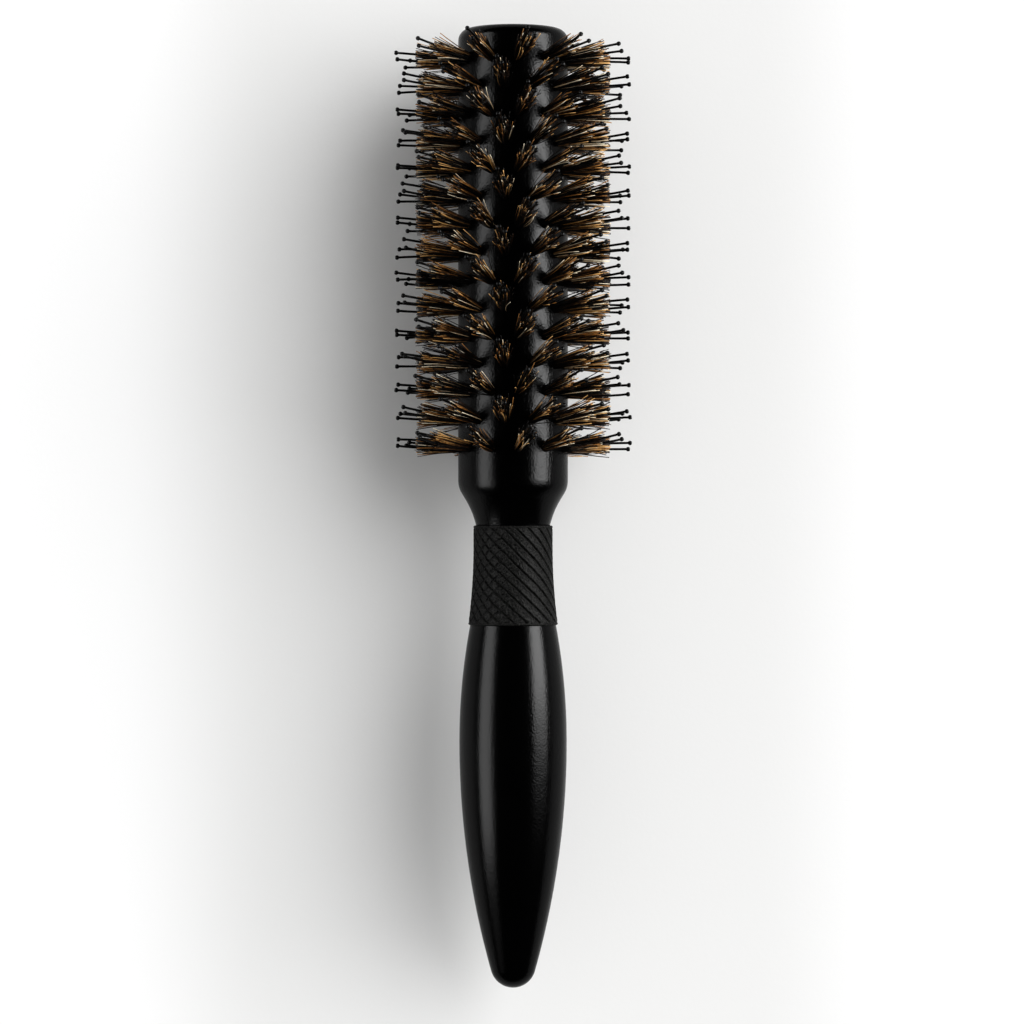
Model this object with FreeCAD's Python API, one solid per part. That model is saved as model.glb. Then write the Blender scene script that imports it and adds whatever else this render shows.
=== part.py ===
"""Round barrel brush: a drilled wooden barrel with bristle tufts, a rubber neck sleeve and a turned handle.

The brush's axis is X. The origin is the centre of the barrel's flat end face, +X points out of that
face, the handle runs towards -X, and +Z is up. The brush lies level on its bristles. Millimetres.
"""
import FreeCAD, Part
import math
import os

from FreeCAD import Placement, Rotation, Vector

X_AXIS = Vector(1, 0, 0)
Y_AXIS = Vector(0, 1, 0)
Z_AXIS = Vector(0, 0, 1)
ORIGIN = Vector(0, 0, 0)

# --- driving dimensions -------------------------------------------------------------------------
TOTAL_LENGTH = 235.8

BARREL_R = 13.5
BARREL_END_ROUNDING = 2.9
BARREL_STRAIGHT_END = 111.1
SHOULDER_CORNER_END = 114.4
SHOULDER_CORNER_R = 12.52
SHOULDER_CONE_END = 115.7
SHOULDER_CONE_R = 11.72
NECK_TOP = 122.1
NECK_R = 9.1
NECK_MIDDLE_R = 10.12

CORE_R = 8.0
JOINT_X = 134.4
DOWEL_R = 4.0
DOWEL_LENGTH = 36.0
DOWEL_CHAMFER = 0.6
DOWEL_END_GAP = 0.5

SLEEVE_R = 9.7
SLEEVE_END = 146.6
SLEEVE_FLARE_START = 127.5
SLEEVE_FLARE_RADIUS = 140.0
SLEEVE_EDGE_ROUNDING = 0.3

HANDLE_MAX_R = 13.22
HANDLE_MAX_X = 175.2
HANDLE_UPPER_RADIUS = 155.0
HANDLE_LOWER_RADIUS = 208.0

RING_COUNT = 15
FIRST_RING = 8.0
RING_PITCH = 6.78
TUFTS_PER_RING = 12
FIRST_COLUMN_DEG = 6.0

HOLE_R = 1.2
HOLE_DEPTH = 7.6
BOAR_TRIM_R = 23.9
BOAR_FAN_R = 2.4
TUFT_COLLAR = 0.5
LEAN_ALL_DEG = 3.0
LEAN_TOP_DEG = 13.0
TUFT_TWIST_DEG = 45.0

PIN_TIP_R = 29.2
PIN_WIRE_R = 0.25
PIN_BALL_R = 0.5
PIN_TIP_SPREAD = 1.1
PIN_FOLD_RADIUS = 0.45

ANCHOR_LENGTH = 2.9
ANCHOR_THICKNESS = 0.35
ANCHOR_HEIGHT = 1.6
ANCHOR_BOTTOM_DEPTH = 6.8


# --- helpers ------------------------------------------------------------------------------------
def turned(edges):
    """Solid of revolution about X from an open outline in the XZ plane that starts and ends on the axis."""
    outline = list(edges)
    first = edges[0].Vertexes[0].Point
    last = edges[-1].Vertexes[-1].Point
    outline.append(Part.makeLine(last, first))
    face = Part.Face(Part.Wire(Part.__sortEdges__(outline)))
    return face.revolve(ORIGIN, X_AXIS, 360)


def at(distance, radius):
    """Point of the outline at a distance behind the barrel's end face and a radius from the axis."""
    return Vector(-distance, 0, radius)


def line(start, end):
    return Part.makeLine(start, end)


def arc(start, middle, end):
    return Part.Arc(start, middle, end).toShape()


def drop(distance, radius):
    """How far a circle of this radius falls away at a distance from its crown."""
    return radius - math.sqrt(radius**2 - distance**2)


def export(shape, name):
    shape.exportStep("parts/" + name + ".step")


# --- turned wood and rubber -----------------------------------------------------------------------
def barrel_blank():
    """The barrel with a rounded end, a coned shoulder, a neck and the spigot that the sleeve covers."""
    flat_r = BARREL_R - BARREL_END_ROUNDING
    diagonal = BARREL_END_ROUNDING * (1 - math.sqrt(0.5))
    corner_middle = at(BARREL_STRAIGHT_END + 1.7, BARREL_R - 0.24)
    neck_middle = at(0.5 * (SHOULDER_CONE_END + NECK_TOP), NECK_MIDDLE_R)
    body = turned([
        line(at(0, 0), at(0, flat_r)),
        arc(at(0, flat_r), at(diagonal, BARREL_R - diagonal), at(BARREL_END_ROUNDING, BARREL_R)),
        line(at(BARREL_END_ROUNDING, BARREL_R), at(BARREL_STRAIGHT_END, BARREL_R)),
        arc(at(BARREL_STRAIGHT_END, BARREL_R), corner_middle, at(SHOULDER_CORNER_END, SHOULDER_CORNER_R)),
        line(at(SHOULDER_CORNER_END, SHOULDER_CORNER_R), at(SHOULDER_CONE_END, SHOULDER_CONE_R)),
        arc(at(SHOULDER_CONE_END, SHOULDER_CONE_R), neck_middle, at(NECK_TOP, NECK_R)),
        line(at(NECK_TOP, NECK_R), at(NECK_TOP, CORE_R)),
        line(at(NECK_TOP, CORE_R), at(JOINT_X, CORE_R)),
        line(at(JOINT_X, CORE_R), at(JOINT_X, 0)),
    ])
    return body.cut(dowel_hole())


def dowel_hole():
    """The blind holes for the dowel in the barrel and in the handle, as one cylinder about the joint."""
    length = DOWEL_LENGTH + 2 * DOWEL_END_GAP
    return Part.makeCylinder(DOWEL_R, length, at(JOINT_X + 0.5 * length, 0), X_AXIS)


def joint_dowel():
    start = JOINT_X - 0.5 * DOWEL_LENGTH
    end = JOINT_X + 0.5 * DOWEL_LENGTH
    tip_r = DOWEL_R - DOWEL_CHAMFER
    return turned([
        line(at(start, 0), at(start, tip_r)),
        line(at(start, tip_r), at(start + DOWEL_CHAMFER, DOWEL_R)),
        line(at(start + DOWEL_CHAMFER, DOWEL_R), at(end - DOWEL_CHAMFER, DOWEL_R)),
        line(at(end - DOWEL_CHAMFER, DOWEL_R), at(end, tip_r)),
        line(at(end, tip_r), at(end, 0)),
    ])


def grip_sleeve():
    """Rubber tube over the neck joint: straight at first, then flared to meet the handle."""
    def flare_r(distance):
        return SLEEVE_R + drop(distance - SLEEVE_FLARE_START, SLEEVE_FLARE_RADIUS)

    edge = SLEEVE_EDGE_ROUNDING
    flare_end = SLEEVE_END - edge
    flare_middle = 0.5 * (SLEEVE_FLARE_START + flare_end)
    outside = turned([
        line(at(NECK_TOP, 0), at(NECK_TOP, SLEEVE_R - edge)),
        line(at(NECK_TOP, SLEEVE_R - edge), at(NECK_TOP + edge, SLEEVE_R)),
        line(at(NECK_TOP + edge, SLEEVE_R), at(SLEEVE_FLARE_START, SLEEVE_R)),
        arc(
            at(SLEEVE_FLARE_START, SLEEVE_R),
            at(flare_middle, flare_r(flare_middle)),
            at(flare_end, flare_r(flare_end)),
        ),
        line(at(flare_end, flare_r(flare_end)), at(SLEEVE_END, flare_r(flare_end) - edge)),
        line(at(SLEEVE_END, flare_r(flare_end) - edge), at(SLEEVE_END, 0)),
    ])
    core = Part.makeCylinder(CORE_R, SLEEVE_END - NECK_TOP, at(SLEEVE_END, 0), X_AXIS)
    return outside.cut(core)


def handle():
    """The turned handle: two long arcs that meet at the widest place, and a round tip tangent to them."""
    def upper_r(distance):
        return HANDLE_MAX_R - drop(HANDLE_MAX_X - distance, HANDLE_UPPER_RADIUS)

    def lower_r(distance):
        return HANDLE_MAX_R - drop(distance - HANDLE_MAX_X, HANDLE_LOWER_RADIUS)

    # the tip is a circle centred on the axis that touches the lower arc from inside
    run = TOTAL_LENGTH - HANDLE_MAX_X
    below = HANDLE_LOWER_RADIUS - HANDLE_MAX_R
    tip_r = (HANDLE_LOWER_RADIUS**2 - below**2 - run**2) / (2 * (HANDLE_LOWER_RADIUS - run))
    tip_centre = TOTAL_LENGTH - tip_r
    slope = math.atan2(tip_centre - HANDLE_MAX_X, below)
    touch = tip_centre + tip_r * math.sin(slope)
    touch_r = tip_r * math.cos(slope)
    tip_half = 0.5 * (0.5 * math.pi + slope)
    tip_middle = at(tip_centre + tip_r * math.sin(tip_half), tip_r * math.cos(tip_half))

    upper_middle = 0.5 * (SLEEVE_END + HANDLE_MAX_X)
    lower_middle = 0.5 * (HANDLE_MAX_X + touch)
    body = turned([
        line(at(JOINT_X, 0), at(JOINT_X, CORE_R)),
        line(at(JOINT_X, CORE_R), at(SLEEVE_END, CORE_R)),
        line(at(SLEEVE_END, CORE_R), at(SLEEVE_END, upper_r(SLEEVE_END))),
        arc(
            at(SLEEVE_END, upper_r(SLEEVE_END)),
            at(upper_middle, upper_r(upper_middle)),
            at(HANDLE_MAX_X, HANDLE_MAX_R),
        ),
        arc(at(HANDLE_MAX_X, HANDLE_MAX_R), at(lower_middle, lower_r(lower_middle)), at(touch, touch_r)),
        arc(at(touch, touch_r), tip_middle, at(TOTAL_LENGTH, 0)),
    ])
    return body.cut(dowel_hole())


# --- one tuft in its own frame: the barrel's surface at the origin, the tuft along +Z ---------------
def anchor():
    """Flat wire driven into the bottom of the hole; its ends bite into the wood beside the hole."""
    corner = Vector(-0.5 * ANCHOR_THICKNESS, -0.5 * ANCHOR_LENGTH, -ANCHOR_BOTTOM_DEPTH)
    return Part.makeBox(ANCHOR_THICKNESS, ANCHOR_LENGTH, ANCHOR_HEIGHT, corner)


def pin_pair(length):
    """One nylon filament with a ball on each end, folded round the anchor so that both ends stand up."""
    fold = Vector(0, 0, 0.05 - ANCHOR_BOTTOM_DEPTH)
    reach = length - fold.z
    tip_turn = math.atan2(PIN_TIP_SPREAD, reach)
    slope = tip_turn - math.asin(PIN_FOLD_RADIUS / math.hypot(PIN_TIP_SPREAD, reach))
    side = PIN_FOLD_RADIUS * math.cos(slope)
    sink = PIN_FOLD_RADIUS * math.sin(slope)
    tips = [Vector(s * PIN_TIP_SPREAD, 0, length) for s in (-1, 1)]
    touches = [fold + Vector(s * side, 0, -sink) for s in (-1, 1)]
    route = Part.Wire([
        line(tips[0], touches[0]),
        arc(touches[0], fold - Vector(0, 0, PIN_FOLD_RADIUS), touches[1]),
        line(touches[1], tips[1]),
    ])
    section = Part.Wire(Part.makeCircle(PIN_WIRE_R, tips[0], touches[0] - tips[0]))
    filament = route.makePipeShell([section], True, False)
    return filament.fuse([Part.makeSphere(PIN_BALL_R, tip) for tip in tips])


def boar_tuft(length, pins):
    """Boar bristles packed into the hole and fanning out to the trimmed end, round the anchor and pins."""
    outline = Part.makePolygon([
        Vector(0, 0, -HOLE_DEPTH),
        Vector(HOLE_R, 0, -HOLE_DEPTH),
        Vector(HOLE_R, 0, TUFT_COLLAR),
        Vector(BOAR_FAN_R, 0, length),
        Vector(0, 0, length),
        Vector(0, 0, -HOLE_DEPTH),
    ])
    tuft = Part.Face(outline).revolve(ORIGIN, Z_AXIS, 360)
    return tuft.cut([anchor(), pins])


def drilled_hole():
    """What the drill and the anchor remove from the barrel."""
    drill = Part.makeCylinder(HOLE_R, HOLE_DEPTH + TUFT_COLLAR, Vector(0, 0, -HOLE_DEPTH))
    return drill.fuse(anchor())


# --- the bristle field ----------------------------------------------------------------------------
def lean_of(angle):
    """Every tuft leans a little towards the barrel's end, and those on the upper side lean more."""
    return LEAN_ALL_DEG + LEAN_TOP_DEG * max(0.0, math.cos(math.radians(angle)))


def ring_angles(ring):
    """Angles of a ring's tufts from +Z towards -Y; every other ring is turned by half a step."""
    step = 360.0 / TUFTS_PER_RING
    start = FIRST_COLUMN_DEG + 0.5 * step * (ring % 2)
    return [start + step * k for k in range(TUFTS_PER_RING)]


def tuft_place(ring, angle):
    """Placement that carries a tuft's own frame to its hole in the barrel."""
    turn = math.radians(angle)
    mouth = Vector(
        -FIRST_RING - RING_PITCH * ring,
        -BARREL_R * math.sin(turn),
        BARREL_R * math.cos(turn),
    )
    rotation = Rotation(X_AXIS, angle) * Rotation(Y_AXIS, lean_of(angle)) * Rotation(Z_AXIS, TUFT_TWIST_DEG)
    return Placement(mouth, rotation)


def placed(shape, place):
    copy = shape.copy()
    copy.Placement = place
    return copy


def tuft_kit(angle):
    """The pins and the boar bristles of a tuft at this angle, cut to its lean."""
    upright = math.cos(math.radians(lean_of(angle)))
    pins = pin_pair(PIN_TIP_R - PIN_BALL_R - BARREL_R)
    boar = boar_tuft((BOAR_TRIM_R - BARREL_R) / upright, pins)
    return pins, boar


def main():
    os.makedirs("parts", exist_ok=True)
    wire = anchor()
    hole = drilled_hole()
    holes = []
    anchors = []
    for ring in range(RING_COUNT):
        tufts = []
        pins = []
        for angle in ring_angles(ring):
            place = tuft_place(ring, angle)
            pin_shape, tuft_shape = tuft_kit(angle)
            tufts.append(placed(tuft_shape, place))
            pins.append(placed(pin_shape, place))
            anchors.append(placed(wire, place))
            holes.append(placed(hole, place))
        export(Part.makeCompound(tufts), "boar_tufts_%02d" % (ring + 1))
        export(Part.makeCompound(pins), "nylon_pins_%02d" % (ring + 1))
    export(Part.makeCompound(anchors), "tuft_anchors")
    export(barrel_blank().cut(holes), "barrel")
    export(handle(), "handle")
    export(joint_dowel(), "joint_dowel")
    export(grip_sleeve(), "grip_sleeve")


main()
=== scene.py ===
"""Looks of the round barrel brush: bristles, pins, grooved rubber, lacquer, light and camera.

The brush's axis is X, with the handle towards -X. The camera looks straight down on it, with the barrel's
end at the top of the picture. Lengths are in metres, and MM is one millimetre.
"""

import math

import bpy
import numpy as np
from mathutils import Matrix, Vector

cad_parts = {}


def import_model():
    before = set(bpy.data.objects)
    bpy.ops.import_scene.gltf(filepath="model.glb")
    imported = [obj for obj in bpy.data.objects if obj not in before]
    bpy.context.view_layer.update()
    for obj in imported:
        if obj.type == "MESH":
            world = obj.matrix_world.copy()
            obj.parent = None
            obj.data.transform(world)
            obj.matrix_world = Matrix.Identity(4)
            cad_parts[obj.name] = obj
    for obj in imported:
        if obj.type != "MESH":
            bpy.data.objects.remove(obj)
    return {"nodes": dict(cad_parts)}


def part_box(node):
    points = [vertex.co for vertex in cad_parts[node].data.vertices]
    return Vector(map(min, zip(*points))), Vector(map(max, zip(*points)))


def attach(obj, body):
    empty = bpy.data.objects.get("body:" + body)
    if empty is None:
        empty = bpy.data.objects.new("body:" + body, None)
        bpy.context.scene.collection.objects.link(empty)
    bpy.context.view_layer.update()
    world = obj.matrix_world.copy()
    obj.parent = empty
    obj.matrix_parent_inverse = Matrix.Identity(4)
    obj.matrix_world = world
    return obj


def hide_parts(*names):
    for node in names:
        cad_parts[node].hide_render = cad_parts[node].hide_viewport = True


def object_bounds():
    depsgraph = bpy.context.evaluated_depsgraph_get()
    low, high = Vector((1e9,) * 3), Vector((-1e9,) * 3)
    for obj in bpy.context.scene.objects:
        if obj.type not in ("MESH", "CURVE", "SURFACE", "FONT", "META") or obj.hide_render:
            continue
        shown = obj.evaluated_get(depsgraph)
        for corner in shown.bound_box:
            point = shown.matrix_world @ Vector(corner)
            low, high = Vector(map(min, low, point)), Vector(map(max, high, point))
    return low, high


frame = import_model()
cad_low, cad_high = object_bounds()

MM = 0.001

# --- the tuft layout that the barrel is drilled to --------------------------------------------------
RINGS = 15
TUFTS_PER_RING = 12
FIRST_RING = 8.0 * MM
RING_PITCH = 6.78 * MM
FIRST_COLUMN_DEG = 6.0
LEAN_ALL_DEG = 3.0  # every tuft leans this much towards the barrel's end
LEAN_TOP_DEG = 13.0  # and the uppermost ones by this much more
SWEEP_TOP_DEG = 6.0  # the uppermost ones are also brushed sideways
SWEEP_SHARPNESS = 4
HOLE_R = 1.2 * MM
BOAR_TRIM_R = 23.9 * MM
PIN_TIP_R = 29.2 * MM
BARREL_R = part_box("barrel")[1].y
ROOT_DEPTH = 1.5 * MM  # bristles and pins start this far inside the barrel

# --- bristles -----------------------------------------------------------------------------------------
BRISTLE_SEED = 11
STRANDS_PER_TUFT = 68
STRAND_SEGMENTS = 6
STRAND_SIDES = 4
STRAND_ROOT_R = 0.13 * MM
STRAND_TIP_R = 0.095 * MM
STRAND_THICKNESS = (0.75, 1.15)
FAN_R = 2.3 * MM
FAN_SPREAD = 0.1
FAN_JITTER = 0.5 * MM
STRAY_SHARE = 0.05
STRAY_REACH = (1.25, 1.7)
BOW_JITTER = 0.26 * MM
BOW_INWARD = 0.1 * MM
TRIM_JITTER = 0.16 * MM
SHORT_SHARE = 0.14
SHORT_BY = (0.4 * MM, 2.6 * MM)

BRISTLE_ROOT = (0.004, 0.0025, 0.002)
BRISTLE_MIDDLE_HEIGHT = 0.6
# middle and tip colour of each kind of bristle, and how many of the bristles are of that kind
BRISTLE_TONES = [
    ((0.0015, 0.001, 0.0008), (0.0035, 0.0025, 0.002), 0.46),
    ((0.008, 0.004, 0.002), (0.030, 0.014, 0.006), 0.19),
    ((0.090, 0.040, 0.011), (0.380, 0.180, 0.052), 0.16),
    ((0.320, 0.168, 0.055), (0.780, 0.470, 0.185), 0.12),
    ((0.700, 0.520, 0.320), (0.960, 0.860, 0.660), 0.07),
]

# --- nylon pins -----------------------------------------------------------------------------------------
PIN_SEED = 111
PIN_R = 0.28 * MM
PIN_BALL_R = 0.57 * MM
PIN_ROOT_SPREAD = 0.45 * MM
PIN_SPREAD = 1.1 * MM
PIN_LENGTH_SPREAD = 0.012
PIN_TIP_JITTER = 0.3 * MM
PIN_BOW_JITTER = 0.22 * MM
PIN_SIDES = 8
PIN_SEGMENTS = 7
BALL_RINGS = 6
BALL_START = -0.87  # where the ball leaves the pin, in ball radii from its centre

# --- lacquer --------------------------------------------------------------------------------------------
BARREL_GRAIN_DEPTH = 0.07 * MM
HANDLE_GRAIN_DEPTH = 0.045 * MM

# --- rubber sleeve --------------------------------------------------------------------------------------
SLEEVE_BORE_R = 8.02 * MM
SLEEVE_STEPS = 190
SLEEVE_TURNS = 500
SLEEVE_LIP = 0.35 * MM
GROOVES_AROUND = 20
GROOVE_PITCH = 2.95 * MM
GROOVE_HALF_WIDTH = 0.2 * MM
GROOVE_DEPTH = 0.42 * MM
CROSS_GROOVE_DEPTH = 0.25 * MM
GROOVE_LIP_OFFSET = 0.4 * MM
GROOVE_LIP_HALF_WIDTH = 0.15 * MM
GROOVE_LIP_HEIGHT = 0.05 * MM
WAVE_SIZE = 0.045  # how far a groove wanders, as a share of the pitch
WAVES_AROUND = (4, 3)
WAVES_ALONG = (180.0, 260.0)  # radians per metre
CROSSED_TURN = 0.3  # the crossing grooves show where sin(turn - CROSSED_TURN) is below -CROSSED_EDGE
CROSSED_EDGE = 0.42
CROSSED_SHARPNESS = 5.0
PLAIN_BAND = 0.55 * MM
PLAIN_BAND_FADE = 0.35 * MM
RIM_PLACE, RIM_WIDTH, RIM_HEIGHT = 0.35 * MM, 0.2 * MM, 0.07 * MM
RIM_STEP_PLACE, RIM_STEP_WIDTH, RIM_STEP_DEPTH = 0.72 * MM, 0.14 * MM, 0.1 * MM

# --- stage ----------------------------------------------------------------------------------------------
CAMERA_PLACE = (-0.1188, 0.00026, 0.984)
CAMERA_LENS = 140.6
FLOOR_HALF_SIZE = 3.0
FLOOR_GAP = 0.2 * MM
FLOOR_IN_REFLECTIONS = 0.7
# painted light on the floor: darker paper next to the brush, paler paper away from it
PAINTED_SHADE_NEAR_BRUSH = (0.755, 0.755, 0.75)
PAINTED_LIGHT_AWAY_FROM_BRUSH = (0.85, 0.85, 0.85)
PAINTED_LIGHT_FADE = (0.06, 0.102)  # the paper's painted light goes from the darker near colour to the paler far colour between these distances from the axis
SOFTBOX_HEIGHT = 0.27
# name, X and Y of the middle, width across the brush, length along it, radiance
SOFTBOXES = [
    ("right_softbox", 0.085, -0.50, 0.33, 0.43, 16.5),
    ("right_softbox_fade", -0.175, -0.50, 0.33, 0.09, 7.5),
    ("right_softbox_end", -0.26, -0.50, 0.33, 0.08, 1.2),
    ("left_softbox", -0.025, 0.50, 0.30, 0.71, 7.4),
    ("left_softbox_end", -0.505, 0.50, 0.30, 0.25, 0.6),
]
KEY_ENERGY = 2.95
KEY_ANGLE_DEG = 62.0
KEY_TOWARDS = (0.40, -0.97, 0.90)
WORLD_LIGHT = 0.42  # strength that lights the scene
WORLD_SEEN = 1.0  # strength that the camera sees past the floor


# --- helpers --------------------------------------------------------------------------------------------
def mesh_piece(name, verts, faces, materials, slots=None):
    """A smooth-shaded mesh object; faces is a list, and slots gives each face's material index."""
    mesh = bpy.data.meshes.new(name)
    mesh.from_pydata(np.asarray(verts).tolist(), [], faces)
    for material in materials:
        mesh.materials.append(material)
    if slots is not None:
        mesh.polygons.foreach_set("material_index", np.asarray(slots, np.int32))
    mesh.polygons.foreach_set("use_smooth", np.ones(len(mesh.polygons), bool))
    mesh.update()
    piece = bpy.data.objects.new(name, mesh)
    bpy.context.scene.collection.objects.link(piece)
    return piece


def stand_for(piece, node):
    """The piece rides on the brush's one body and replaces a CAD node, which is hidden."""
    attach(piece, "root")
    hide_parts(node)


def paint(node, material):
    """Gives every slot of a carried-over CAD node one material."""
    piece = frame["nodes"][node]
    if not piece.material_slots:
        piece.data.materials.append(material)
    for slot in piece.material_slots:
        slot.material = material


def plain_material(name, color, roughness, metallic=0.0, ior=1.5):
    """A new material and its shader."""
    material = bpy.data.materials.new(name)
    material.use_nodes = True
    shader = material.node_tree.nodes["Principled BSDF"]
    shader.inputs["Base Color"].default_value = (*color, 1.0)
    shader.inputs["Roughness"].default_value = roughness
    shader.inputs["Metallic"].default_value = metallic
    shader.inputs["IOR"].default_value = ior
    return material, shader


def add_noise(material, scale, detail=2.0, stretch=None):
    """A noise texture in the object's own coordinates, stretched along the axes if asked."""
    nodes, links = material.node_tree.nodes, material.node_tree.links
    place = nodes.new("ShaderNodeTexCoord")
    noise = nodes.new("ShaderNodeTexNoise")
    noise.inputs["Scale"].default_value = scale
    noise.inputs["Detail"].default_value = detail
    source = place.outputs["Object"]
    if stretch:
        mapping = nodes.new("ShaderNodeMapping")
        mapping.inputs["Scale"].default_value = stretch
        links.new(source, mapping.inputs["Vector"])
        source = mapping.outputs["Vector"]
    links.new(source, noise.inputs["Vector"])
    return noise.outputs["Fac"]


def add_range(material, value, low, high):
    """Maps a 0 to 1 value to a range."""
    spread = material.node_tree.nodes.new("ShaderNodeMapRange")
    spread.inputs["To Min"].default_value = low
    spread.inputs["To Max"].default_value = high
    material.node_tree.links.new(value, spread.inputs["Value"])
    return spread.outputs["Result"]


def add_ramp(material, value, stops):
    """Colour ramp from (place, colour) stops."""
    ramp = material.node_tree.nodes.new("ShaderNodeValToRGB")
    elements = ramp.color_ramp.elements
    for element, (place, color) in zip(elements, stops):
        element.position = place
        element.color = (*color, 1.0)
    material.node_tree.links.new(value, ramp.inputs["Fac"])
    return ramp.outputs["Color"]


def add_bump(material, shader, height, distance, strength=1.0, normal=None):
    """A bump over an earlier one, if given, wired to the shader."""
    bump = material.node_tree.nodes.new("ShaderNodeBump")
    bump.inputs["Distance"].default_value = distance
    bump.inputs["Strength"].default_value = strength
    links = material.node_tree.links
    links.new(height, bump.inputs["Height"])
    if normal is not None:
        links.new(normal, bump.inputs["Normal"])
    links.new(bump.outputs["Normal"], shader.inputs["Normal"])
    return bump.outputs["Normal"]


# --- materials ------------------------------------------------------------------------------------------
def lacquer(name, grain_depth):
    """Black satin lacquer on turned beech: nearly even, with fine orange peel and a faint speckle."""
    material, shader = plain_material(name, (0.0008, 0.0008, 0.0008), 0.22, ior=1.22)
    links = material.node_tree.links
    cloud = add_noise(material, 60.0, 3.0)
    speckle = add_noise(material, 2600.0, 2.0)
    color = add_ramp(material, cloud, [(0.3, (0.0004, 0.0004, 0.0005)), (0.7, (0.0008, 0.0008, 0.0009))])
    links.new(color, shader.inputs["Base Color"])
    links.new(add_range(material, speckle, 0.13, 0.25), shader.inputs["Roughness"])
    peel = add_noise(material, 520.0, 3.0)
    grain = add_noise(material, 2100.0, 2.0)
    peel_normal = add_bump(material, shader, peel, 0.015 * MM, 0.5)
    add_bump(material, shader, grain, grain_depth, 1.0, peel_normal)
    return material


def rubber():
    """Matt black rubber with a fine moulded grain."""
    material, shader = plain_material("grip_rubber", (0.006, 0.006, 0.0056), 0.45, ior=1.18)
    links = material.node_tree.links
    grain = add_noise(material, 2400.0, 2.0)
    color = add_ramp(material, grain, [(0.38, (0.0005, 0.0005, 0.0005)), (0.62, (0.0170, 0.0170, 0.0158))])
    links.new(color, shader.inputs["Base Color"])
    links.new(add_range(material, grain, 0.34, 0.56), shader.inputs["Roughness"])
    add_bump(material, shader, grain, 0.26 * MM, 1.0)
    return material


def bare_beech():
    """Pale beech with its short dark flecks, drawn out along the dowel."""
    material, shader = plain_material("bare_beech", (0.55, 0.36, 0.2), 0.6)
    fleck = add_noise(material, 900.0, 4.0, stretch=(0.12, 1.0, 1.0))
    color = add_ramp(material, fleck, [(0.35, (0.42, 0.26, 0.14)), (0.65, (0.62, 0.43, 0.25))])
    material.node_tree.links.new(color, shader.inputs["Base Color"])
    return material


def anchor_wire():
    """Plated steel wire with drawing marks along it."""
    material, shader = plain_material("anchor_wire", (0.6, 0.6, 0.6), 0.3, 1.0)
    marks = add_noise(material, 3000.0, 2.0, stretch=(0.1, 1.0, 1.0))
    material.node_tree.links.new(add_range(material, marks, 0.22, 0.42), shader.inputs["Roughness"])
    return material


def nylon():
    """Black nylon, glossy where it has been rubbed and duller elsewhere."""
    material, shader = plain_material("nylon_black", (0.002, 0.002, 0.002), 0.3, ior=1.25)
    wear = add_noise(material, 700.0, 2.0)
    material.node_tree.links.new(add_range(material, wear, 0.2, 0.42), shader.inputs["Roughness"])
    return material


def bristle_materials():
    """One material for each kind of bristle at each height, from the dark root to the pale tip."""
    made = []
    for kind, (middle, tip, _) in enumerate(BRISTLE_TONES):
        stops = np.array([BRISTLE_ROOT, middle, tip])
        for step in range(STRAND_SEGMENTS):
            height = step / (STRAND_SEGMENTS - 1)
            color = [np.interp(height, (0.0, BRISTLE_MIDDLE_HEIGHT, 1.0), stops[:, c]) for c in range(3)]
            material, _ = plain_material("boar_%d_%d" % (kind, step), color, 0.4, ior=1.3)
            made.append(material)
    return made


# --- tufts ----------------------------------------------------------------------------------------------
def ring_angles(ring):
    """Where a ring's tufts stand, in degrees round the axis; every other ring is turned by half a step."""
    step = 360.0 / TUFTS_PER_RING
    return [FIRST_COLUMN_DEG + 0.5 * step * (ring % 2) + step * k for k in range(TUFTS_PER_RING)]


def tuft_frame(ring, angle):
    """Mouth of the hole, direction along the barrel, direction round it, direction of the tuft, lean."""
    turn = math.radians(angle)
    upward = max(0.0, math.cos(turn))
    lean = math.radians(LEAN_ALL_DEG + LEAN_TOP_DEG * upward)
    out = np.array([0.0, -math.sin(turn), math.cos(turn)])
    along = np.array([1.0, 0.0, 0.0])
    mouth = out * BARREL_R - along * (FIRST_RING + RING_PITCH * ring)
    up = out * math.cos(lean) + along * math.sin(lean)
    side = along * math.cos(lean) - out * math.sin(lean)
    round_ = np.cross(up, side)
    sweep = math.radians(SWEEP_TOP_DEG) * upward**SWEEP_SHARPNESS
    tangent = np.array([0.0, -math.cos(turn), -math.sin(turn)])
    up = up * math.cos(sweep) + tangent * math.sin(sweep)
    return mouth, side, round_, up, lean


def tubes(paths, radii, sides):
    """Tubes round many paths at once: paths is (n, points, 3), radii is (n, points).

    Returns the corners, the quads, each quad's path and segment, and each corner's index by path, point
    and side. The ends are open.
    """
    count, points, _ = paths.shape
    ahead = np.gradient(paths, axis=1)
    ahead /= np.linalg.norm(ahead, axis=2, keepdims=True)
    helper = np.where(np.abs(ahead[:, :1, :1]) < 0.8, [[[1.0, 0.0, 0.0]]], [[[0.0, 1.0, 0.0]]])
    across = np.cross(ahead, np.broadcast_to(helper, ahead.shape))
    across /= np.linalg.norm(across, axis=2, keepdims=True)
    other = np.cross(ahead, across)
    turn = 2 * math.pi * np.arange(sides) / sides
    around = across[:, :, None, :] * np.cos(turn)[:, None] + other[:, :, None, :] * np.sin(turn)[:, None]
    corners = paths[:, :, None, :] + around * radii[:, :, None, None]
    index = np.arange(count * points * sides).reshape(count, points, sides)
    after = np.roll(index, -1, axis=2)
    quads = np.stack([index[:, :-1], after[:, :-1], after[:, 1:], index[:, 1:]], axis=-1)
    segment = np.broadcast_to(np.arange(points - 1)[None, :, None], quads.shape[:3])
    path = np.broadcast_to(np.arange(count)[:, None, None], quads.shape[:3])
    return corners.reshape(-1, 3), quads.reshape(-1, 4), path.ravel(), segment.ravel(), index


def closed(quads, index):
    """The quads and both end caps of every tube, as one list of faces; the caps come last."""
    return quads.tolist() + index[:, 0, ::-1].tolist() + index[:, -1].tolist()


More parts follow.
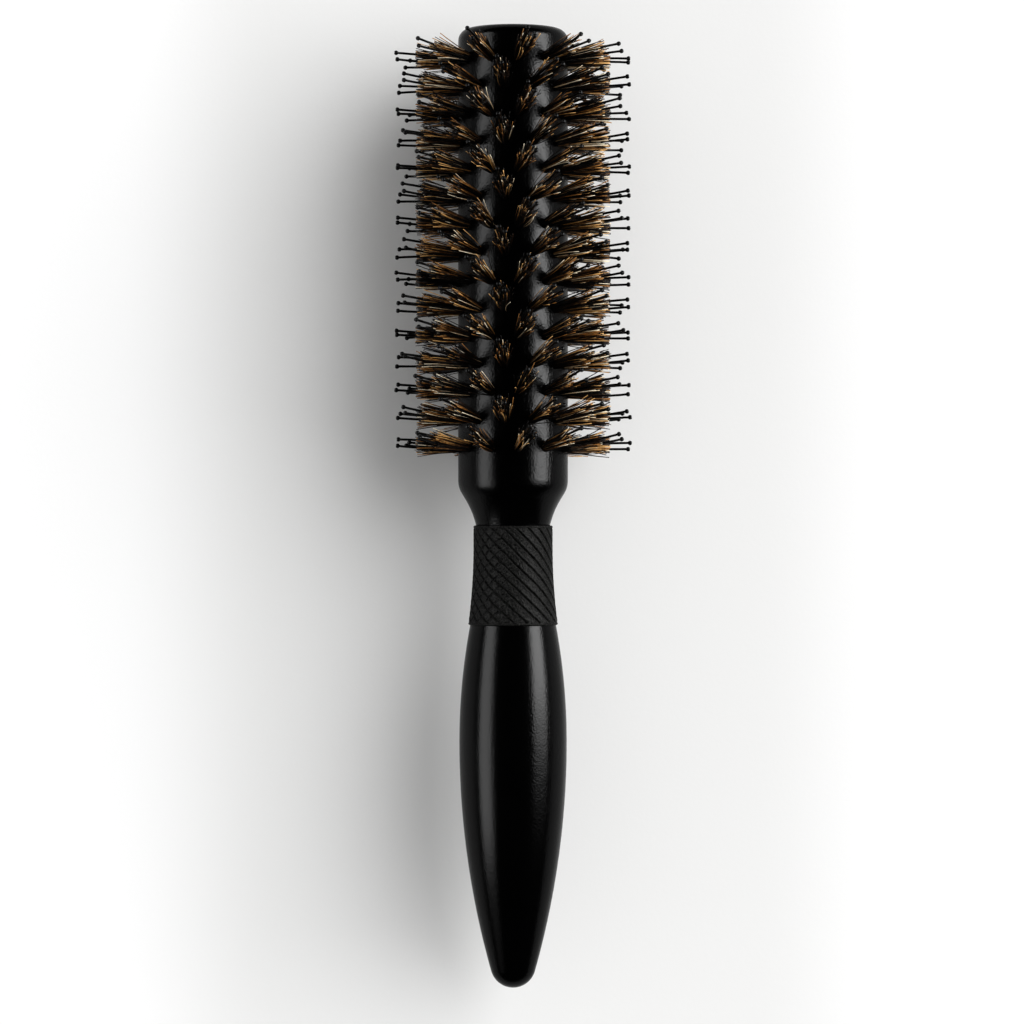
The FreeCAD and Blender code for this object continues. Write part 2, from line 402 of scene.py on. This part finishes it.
def strand_paths(rng, ring, angle):
    """Centre lines of one tuft's bristles, fanned out from the hole to the trimmed end."""
    mouth, side, round_, up, lean = tuft_frame(ring, angle)
    n = STRANDS_PER_TUFT
    reach = np.sqrt(rng.random(n))
    heading = 2 * math.pi * rng.random(n)
    unit = np.stack([np.cos(heading), np.sin(heading)], axis=1)
    root = unit * (reach * (HOLE_R - STRAND_ROOT_R))[:, None]
    stray = rng.random(n) < STRAY_SHARE
    fan = FAN_R * reach * rng.normal(1.0, FAN_SPREAD, n) * np.where(stray, rng.uniform(*STRAY_REACH, n), 1.0)
    tip = unit * fan[:, None] + rng.normal(0.0, FAN_JITTER, (n, 2))
    bow = rng.normal(0.0, BOW_JITTER, (n, 2)) - unit * BOW_INWARD
    trim = BOAR_TRIM_R + rng.normal(0.0, TRIM_JITTER, n)
    short = rng.random(n) < SHORT_SHARE
    trim -= np.where(short, rng.uniform(*SHORT_BY, n), 0.0)
    length = (np.sqrt(trim**2 - tip[:, 1] ** 2) - BARREL_R + tip[:, 0] * math.sin(lean)) / math.cos(lean)
    t = np.linspace(0.0, 1.0, STRAND_SEGMENTS + 1)[None, :, None]
    flat = root[:, None] * (1 - t) + tip[:, None] * t + bow[:, None] * (4 * t * (1 - t))
    height = (length + ROOT_DEPTH)[:, None, None] * t - ROOT_DEPTH
    return mouth + flat[:, :, :1] * side + flat[:, :, 1:] * round_ + height * up


def boar_ring(ring, materials):
    """One ring of boar tufts, every bristle a thin tapered tube."""
    rng = np.random.default_rng(BRISTLE_SEED + ring)
    paths = np.concatenate([strand_paths(rng, ring, angle) for angle in ring_angles(ring)])
    count = len(paths)
    thick = rng.uniform(*STRAND_THICKNESS, count)[:, None]
    radii = thick * np.linspace(STRAND_ROOT_R, STRAND_TIP_R, STRAND_SEGMENTS + 1)[None, :]
    verts, quads, path, segment, index = tubes(paths, radii, STRAND_SIDES)
    shares = np.array([share for _, _, share in BRISTLE_TONES])
    kind = rng.choice(len(BRISTLE_TONES), size=count, p=shares / shares.sum())
    shift = rng.integers(-1, 2, size=count)
    last = STRAND_SEGMENTS - 1
    first_slot = kind * STRAND_SEGMENTS
    step = np.clip(segment + shift[path], 0, last)
    slots = np.concatenate([first_slot[path] + step, first_slot, first_slot + last])
    name = "boar_bristles_%02d" % (ring + 1)
    piece = mesh_piece(name, verts, closed(quads, index), materials, slots)
    stand_for(piece, "boar_tufts_%02d" % (ring + 1))


def pin_path(rng, ring, angle, end):
    """Centre line of one nylon pin, from inside the tuft to its ball, with the slight bend of use."""
    mouth, side, round_, up, _ = tuft_frame(ring, angle)
    diagonal = np.full(2, math.sqrt(0.5) * end)
    length = (PIN_TIP_R - PIN_BALL_R - BARREL_R) * (1 + rng.normal(0.0, PIN_LENGTH_SPREAD))
    tip = diagonal * PIN_SPREAD + rng.normal(0.0, PIN_TIP_JITTER, 2)
    root = diagonal * PIN_ROOT_SPREAD
    bow = rng.normal(0.0, PIN_BOW_JITTER, 2)
    t = np.linspace(0.0, 1.0, PIN_SEGMENTS + 1)[:, None]
    flat = root * (1 - t) + tip * t + bow * (4 * t * (1 - t))
    height = (length + ROOT_DEPTH) * t - ROOT_DEPTH
    return mouth + flat[:, :1] * side + flat[:, 1:] * round_ + height * up


def pin_ring(ring, material):
    """One ring of nylon pins: two to a tuft, each ending in a ball.

    The ball is part of the pin's tube, whose radius swells to the ball's and closes at the tip.
    """
    rng = np.random.default_rng(PIN_SEED + ring)
    paths = np.stack([pin_path(rng, ring, angle, end) for angle in ring_angles(ring) for end in (-1, 1)])
    rise = np.linspace(BALL_START, 1.0, BALL_RINGS + 2)[:-1]
    ahead = paths[:, -1] - paths[:, -2]
    ahead /= np.linalg.norm(ahead, axis=1, keepdims=True)
    balls = paths[:, -1, None] + ahead[:, None] * (rise * PIN_BALL_R)[None, :, None]
    shafts = paths[:, :-1]
    radii = np.concatenate([np.full(shafts.shape[1], PIN_R), PIN_BALL_R * np.sqrt(1 - rise**2)])
    whole = np.concatenate([shafts, balls], axis=1)
    verts, quads, _, _, index = tubes(whole, np.tile(radii, (len(whole), 1)), PIN_SIDES)
    piece = mesh_piece("nylon_pin_set_%02d" % (ring + 1), verts, closed(quads, index), [material])
    stand_for(piece, "nylon_pins_%02d" % (ring + 1))


# --- grip sleeve ----------------------------------------------------------------------------------------
def outer_radius(node, stations):
    """The CAD node's outer radius at stations along X, read from its own corners."""
    co = np.array([v.co for v in frame["nodes"][node].data.vertices])
    radius = np.hypot(co[:, 1], co[:, 2])
    outer = radius > SLEEVE_BORE_R * 1.1
    order = np.argsort(co[outer, 0])
    return np.interp(stations, co[outer, 0][order], radius[outer][order])


def hump(distance, width):
    """A smooth hump, 1 at no distance and nearly 0 from two widths on."""
    return np.exp(-((distance / width) ** 2))


def groove(distance, depth):
    """A groove with a low lip on each side, as a depth below the plain surface."""
    lip = GROOVE_LIP_HEIGHT * hump(np.abs(distance) - GROOVE_LIP_OFFSET, GROOVE_LIP_HALF_WIDTH)
    return depth * hump(distance, GROOVE_HALF_WIDTH) - lip


def groove_depths(down, turn, mean_radius):
    """Depth of the diagonal grooves over the sleeve, and of those that cross them on one side."""
    phase = GROOVES_AROUND * turn[None, :] / (2 * math.pi)
    helix = math.cos(math.atan(GROOVES_AROUND * GROOVE_PITCH / (2 * math.pi * mean_radius)))
    crossed = 0.5 - 0.5 * np.tanh((np.sin(turn - CROSSED_TURN) + CROSSED_EDGE) * CROSSED_SHARPNESS)
    everywhere = np.ones(len(turn))
    depths = np.zeros((len(down), len(turn)))
    for sense, deepest, strength in (
        (-1, GROOVE_DEPTH, everywhere),
        (1, CROSS_GROOVE_DEPTH, crossed),
    ):
        wave = np.sin(WAVES_AROUND[0] * turn[None, :] + sense + WAVES_ALONG[0] * down)
        wave = WAVE_SIZE * wave * np.sin(WAVES_AROUND[1] * turn[None, :] - WAVES_ALONG[1] * down)
        lines = down / GROOVE_PITCH + sense * phase + wave
        distance = (lines - np.round(lines)) * GROOVE_PITCH * helix
        cut = groove(distance, deepest) * strength[None, :]
        depths = np.where(np.abs(cut) > np.abs(depths), cut, depths)
    return depths


def grip_sleeve(material):
    """The rubber sleeve with its moulded grooves and a thin raised rim at both ends."""
    low, high = (corner.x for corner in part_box("grip_sleeve"))
    x = np.linspace(high - SLEEVE_LIP, low + SLEEVE_LIP, SLEEVE_STEPS)
    body = outer_radius("grip_sleeve", x)
    turn = 2 * math.pi * np.arange(SLEEVE_TURNS) / SLEEVE_TURNS
    down = (high - x)[:, None]
    edge = np.minimum(down, (x - low)[:, None])
    depth = groove_depths(down, turn, body.mean())
    depth *= np.clip((edge - PLAIN_BAND) / PLAIN_BAND_FADE, 0.0, 1.0)
    rim = RIM_HEIGHT * hump(edge - RIM_PLACE, RIM_WIDTH)
    rim_step = RIM_STEP_DEPTH * hump(edge - RIM_STEP_PLACE, RIM_STEP_WIDTH)
    radius = body[:, None] - depth + rim - rim_step

    # each end closes over a rounded lip to the bore
    near, far = 0.3 * SLEEVE_LIP, 0.25 * SLEEVE_LIP
    top = [(high, SLEEVE_BORE_R), (high, body[0] - SLEEVE_LIP), (high - near, body[0] - far)]
    foot = [(low + near, body[-1] - far), (low, body[-1] - SLEEVE_LIP), (low, SLEEVE_BORE_R)]
    stations = np.concatenate([[e[0] for e in top], x, [e[0] for e in foot]])
    rows = np.concatenate([
        np.repeat([[e[1]] for e in top], SLEEVE_TURNS, axis=1),
        radius,
        np.repeat([[e[1]] for e in foot], SLEEVE_TURNS, axis=1),
    ])
    verts = np.stack([
        np.repeat(stations[:, None], SLEEVE_TURNS, axis=1),
        -rows * np.sin(turn)[None, :],
        rows * np.cos(turn)[None, :],
    ], axis=-1).reshape(-1, 3)

    # the surface joins on to itself both ways, so the last row closes the bore
    index = np.arange(len(stations) * SLEEVE_TURNS).reshape(len(stations), SLEEVE_TURNS)
    below, beside = np.roll(index, -1, axis=0), np.roll(index, -1, axis=1)
    corner = np.roll(below, -1, axis=1)
    quads = np.stack([index, below, corner, beside], axis=-1).reshape(-1, 4)
    piece = mesh_piece("rubber_grip_sleeve", verts, quads.tolist(), [material])
    stand_for(piece, "grip_sleeve")


# --- stage ----------------------------------------------------------------------------------------------
def floor():
    """A level sheet of pale paper just under the brush, with painted light: it is painted a little paler away
    from the brush and darker next to it, and is dimmer in reflections than it is lit.
    """
    z = cad_low.z - FLOOR_GAP
    size = FLOOR_HALF_SIZE
    corners = [(-size, -size, z), (size, -size, z), (size, size, z), (-size, size, z)]
    material, shader = plain_material("floor_paper", PAINTED_SHADE_NEAR_BRUSH, 0.9)
    shader.inputs["Specular IOR Level"].default_value = 0.1
    nodes, links = material.node_tree.nodes, material.node_tree.links
    place = nodes.new("ShaderNodeTexCoord")
    split = nodes.new("ShaderNodeSeparateXYZ")
    away = nodes.new("ShaderNodeMath")
    away.operation = "ABSOLUTE"
    spread = nodes.new("ShaderNodeMapRange")
    spread.interpolation_type = "SMOOTHSTEP"
    spread.inputs["From Min"].default_value, spread.inputs["From Max"].default_value = PAINTED_LIGHT_FADE
    links.new(place.outputs["Object"], split.inputs["Vector"])
    links.new(split.outputs["Y"], away.inputs[0])
    links.new(away.outputs["Value"], spread.inputs["Value"])
    # painted light: the paper's colour gets paler away from the brush
    painted_light_paper = add_ramp(material, spread.outputs["Result"], [(0.0, PAINTED_SHADE_NEAR_BRUSH), (1.0, PAINTED_LIGHT_AWAY_FROM_BRUSH)])
    rays = nodes.new("ShaderNodeLightPath")
    shade = add_range(material, rays.outputs["Is Glossy Ray"], 1.0, FLOOR_IN_REFLECTIONS)
    color = nodes.new("ShaderNodeVectorMath")
    color.operation = "SCALE"
    links.new(painted_light_paper, color.inputs[0])
    links.new(shade, color.inputs["Scale"])
    links.new(color.outputs["Vector"], shader.inputs["Base Color"])
    grain = add_noise(material, 900.0, 3.0)
    add_bump(material, shader, grain, 0.05 * MM, 0.4)
    mesh_piece("floor", corners, [(0, 1, 2, 3)], [material])


def softbox(name, x, y, width, length, radiance):
    """A strip light beside the brush and parallel to it, turned to face its axis; it only makes highlights."""
    data = bpy.data.lights.new(name, "AREA")
    data.shape = "RECTANGLE"
    data.size, data.size_y = width, length
    data.energy = radiance * math.pi * width * length
    light = bpy.data.objects.new(name, data)
    bpy.context.scene.collection.objects.link(light)
    light.location = (x, y, SOFTBOX_HEIGHT)
    back = Vector((0.0, y, SOFTBOX_HEIGHT)).normalized()
    along = Vector((1.0, 0.0, 0.0))
    light.rotation_mode = "QUATERNION"
    light.rotation_quaternion = Matrix((along.cross(back), along, back)).transposed().to_quaternion()
    light.visible_camera = False
    light.visible_diffuse = False


def key_light():
    """A broad soft light from the right and the barrel's end; it makes no highlights."""
    data = bpy.data.lights.new("key", "SUN")
    data.energy = KEY_ENERGY
    data.angle = math.radians(KEY_ANGLE_DEG)
    light = bpy.data.objects.new("key", data)
    bpy.context.scene.collection.objects.link(light)
    light.rotation_mode = "QUATERNION"
    light.rotation_quaternion = Vector(KEY_TOWARDS).to_track_quat("Z", "Y")
    light.visible_glossy = False


def world():
    """White all round, dimmer as a light than to the eye, and left out of reflections."""
    made = bpy.data.worlds.new("studio")
    bpy.context.scene.world = made
    made.use_nodes = True
    background = made.node_tree.nodes["Background"]
    background.inputs["Color"].default_value = (1.0, 1.0, 1.0, 1.0)
    rays = made.node_tree.nodes.new("ShaderNodeLightPath")
    strength = add_range(made, rays.outputs["Is Camera Ray"], WORLD_LIGHT, WORLD_SEEN)
    made.node_tree.links.new(strength, background.inputs["Strength"])
    made.cycles_visibility.glossy = False


def camera():
    """The camera looks straight down, with +X at the top of the picture."""
    data = bpy.data.cameras.new("camera")
    data.sensor_width = 36.0
    data.lens = CAMERA_LENS
    data.clip_start, data.clip_end = 0.05, 20.0
    made = bpy.data.objects.new("camera", data)
    bpy.context.scene.collection.objects.link(made)
    made.location = CAMERA_PLACE
    made.rotation_euler = (0.0, 0.0, -0.5 * math.pi)
    bpy.context.scene.camera = made


camera()
for box in SOFTBOXES:
    softbox(*box)
key_light()
world()
floor()
bpy.context.scene.view_settings.view_transform = "Standard"
bpy.context.scene.view_settings.look = "Medium High Contrast"

paint("barrel", lacquer("barrel_lacquer", BARREL_GRAIN_DEPTH))
paint("handle", lacquer("handle_lacquer", HANDLE_GRAIN_DEPTH))
paint("joint_dowel", bare_beech())
paint("tuft_anchors", anchor_wire())
grip_sleeve(rubber())
bristles = bristle_materials()
black_nylon = nylon()
for ring in range(RINGS):
    boar_ring(ring, bristles)
    pin_ring(ring, black_nylon)
